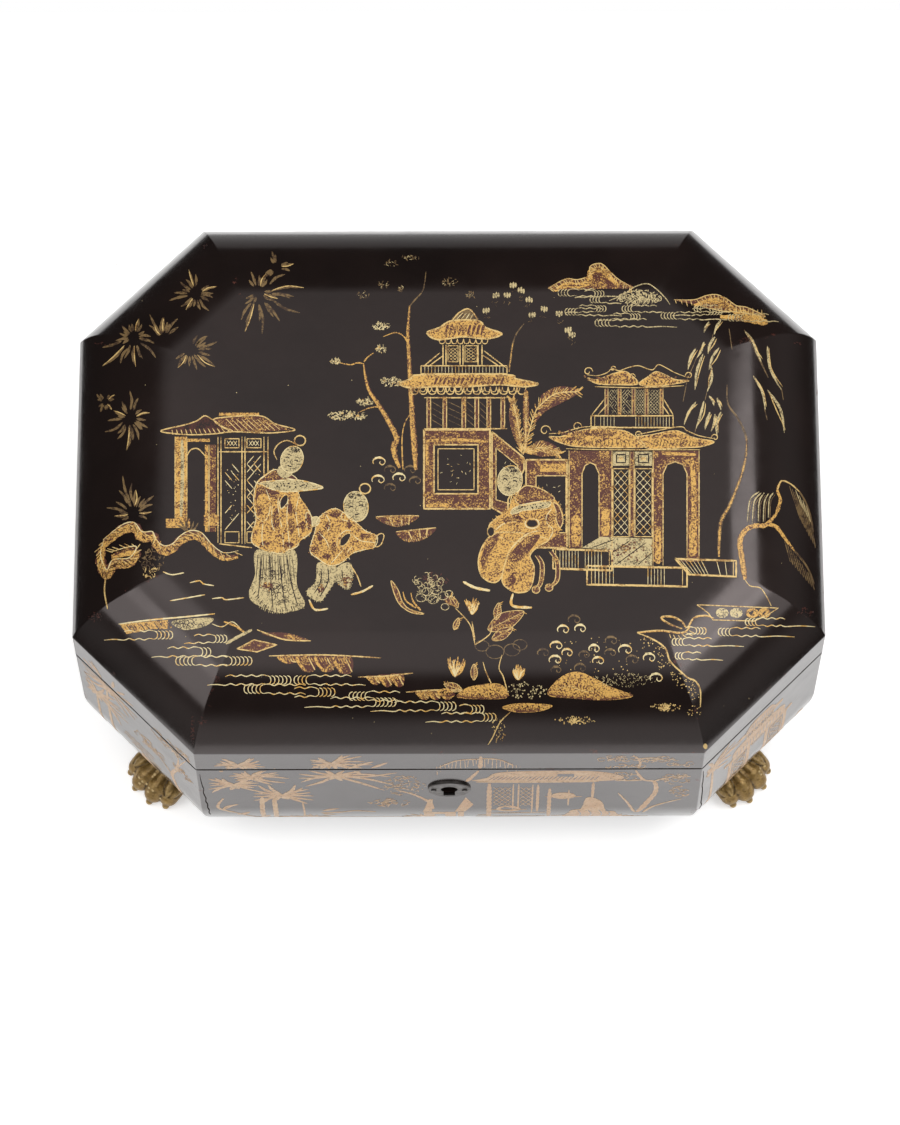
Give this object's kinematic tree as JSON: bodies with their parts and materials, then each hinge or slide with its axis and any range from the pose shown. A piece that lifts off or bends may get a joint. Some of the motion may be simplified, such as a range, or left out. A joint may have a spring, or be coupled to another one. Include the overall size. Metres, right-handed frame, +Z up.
{
  "type": "lacquer games box",
  "caption": "Octagonal lacquered games box with a domed hinged lid, gilt landscape scenes, a keyhole lock, lift-out counter boxes and carved paw feet.",
  "frame": {"origin": "on the floor under the middle of the box", "axes": "+X to the right seen from the front, +Y to the back, +Z up"},
  "size_m": [0.36, 0.2745, 0.1755],
  "materials": {
    "lacquer": "glossy black-brown lacquer with gilt scenes, worn red-brown at the edges",
    "inner_lacquer": "satin black-brown lacquer with gilt borders",
    "giltwood": "worn gilding on carved wood",
    "brass": "aged satin",
    "dark_metal": "dark worn metal",
    "steel": "dull grey"
  },
  "bodies": {
    "base": {"bottom_board": "lacquer", "wall_front": "lacquer", "wall_front_right": "lacquer", "wall_right": "lacquer", "wall_back_right": "lacquer", "wall_back": "lacquer", "wall_back_left": "lacquer", "wall_left": "lacquer", "wall_front_left": "lacquer", "foot_front_left": "giltwood", "foot_front_right": "giltwood", "foot_back_left": "giltwood", "foot_back_right": "giltwood", "foot_screws": "steel", "keyhole_plate": "dark_metal", "keyplate_tacks": "dark_metal", "lock_plate": "brass", "lock_cap": "brass", "lock_spring": "steel", "key_post": "steel", "lock_screws": "brass", "hinge_leaf_base_left": "brass", "hinge_leaf_base_right": "brass", "hinge_pin_left": "steel", "hinge_pin_right": "steel", "hinge_screws_base": "brass"},
    "lid": {"lid_top": "lacquer", "lid_front": "lacquer", "lid_front_right": "lacquer", "lid_right": "lacquer", "lid_back_right": "lacquer", "lid_back": "lacquer", "lid_back_left": "lacquer", "lid_left": "lacquer", "lid_front_left": "lacquer", "hinge_leaf_lid_left": "brass", "hinge_leaf_lid_right": "brass", "hinge_screws_lid": "brass", "strike": "brass", "strike_screws": "brass"},
    "bolt": {"lock_bolt": "steel"},
    "box_front_left": {"counter_box_front_left": "inner_lacquer"},
    "cover_front_left": {"counter_cover_front_left": "inner_lacquer"},
    "box_front_middle": {"counter_box_front_middle": "inner_lacquer"},
    "cover_front_middle": {"counter_cover_front_middle": "inner_lacquer"},
    "box_front_right": {"counter_box_front_right": "inner_lacquer"},
    "cover_front_right": {"counter_cover_front_right": "inner_lacquer"},
    "box_back_left": {"counter_box_back_left": "inner_lacquer"},
    "cover_back_left": {"counter_cover_back_left": "inner_lacquer"},
    "box_back_middle": {"counter_box_back_middle": "inner_lacquer"},
    "cover_back_middle": {"counter_cover_back_middle": "inner_lacquer"},
    "box_back_right": {"counter_box_back_right": "inner_lacquer"},
    "cover_back_right": {"counter_cover_back_right": "inner_lacquer"}
  },
  "joints": [
    {"name": "lid_hinge", "type": "hinge", "parent": "base", "child": "lid", "pos_m": [0, 0.1338, 0.11715], "axis": [-1, 0, 0], "range_deg": [0, 100]},
    {"name": "bolt_slide", "type": "slide", "parent": "base", "child": "bolt", "axis": [1, 0, 0], "range_m": [0, 0.006]},
    {"name": "box_lift_front_left", "type": "slide", "parent": "base", "child": "box_front_left", "axis": [0, 0, 1], "range_m": [0, 0.035]},
    {"name": "cover_lift_front_left", "type": "slide", "parent": "box_front_left", "child": "cover_front_left", "axis": [0, 0, 1], "range_m": [0, 0.03]},
    {"name": "box_lift_front_middle", "type": "slide", "parent": "base", "child": "box_front_middle", "axis": [0, 0, 1], "range_m": [0, 0.035]},
    {"name": "cover_lift_front_middle", "type": "slide", "parent": "box_front_middle", "child": "cover_front_middle", "axis": [0, 0, 1], "range_m": [0, 0.03]},
    {"name": "box_lift_front_right", "type": "slide", "parent": "base", "child": "box_front_right", "axis": [0, 0, 1], "range_m": [0, 0.035]},
    {"name": "cover_lift_front_right", "type": "slide", "parent": "box_front_right", "child": "cover_front_right", "axis": [0, 0, 1], "range_m": [0, 0.03]},
    {"name": "box_lift_back_left", "type": "slide", "parent": "base", "child": "box_back_left", "axis": [0, 0, 1], "range_m": [0, 0.035]},
    {"name": "cover_lift_back_left", "type": "slide", "parent": "box_back_left", "child": "cover_back_left", "axis": [0, 0, 1], "range_m": [0, 0.03]},
    {"name": "box_lift_back_middle", "type": "slide", "parent": "base", "child": "box_back_middle", "axis": [0, 0, 1], "range_m": [0, 0.035]},
    {"name": "cover_lift_back_middle", "type": "slide", "parent": "box_back_middle", "child": "cover_back_middle", "axis": [0, 0, 1], "range_m": [0, 0.03]},
    {"name": "box_lift_back_right", "type": "slide", "parent": "base", "child": "box_back_right", "axis": [0, 0, 1], "range_m": [0, 0.035]},
    {"name": "cover_lift_back_right", "type": "slide", "parent": "box_back_right", "child": "cover_back_right", "axis": [0, 0, 1], "range_m": [0, 0.03]}
  ]
}
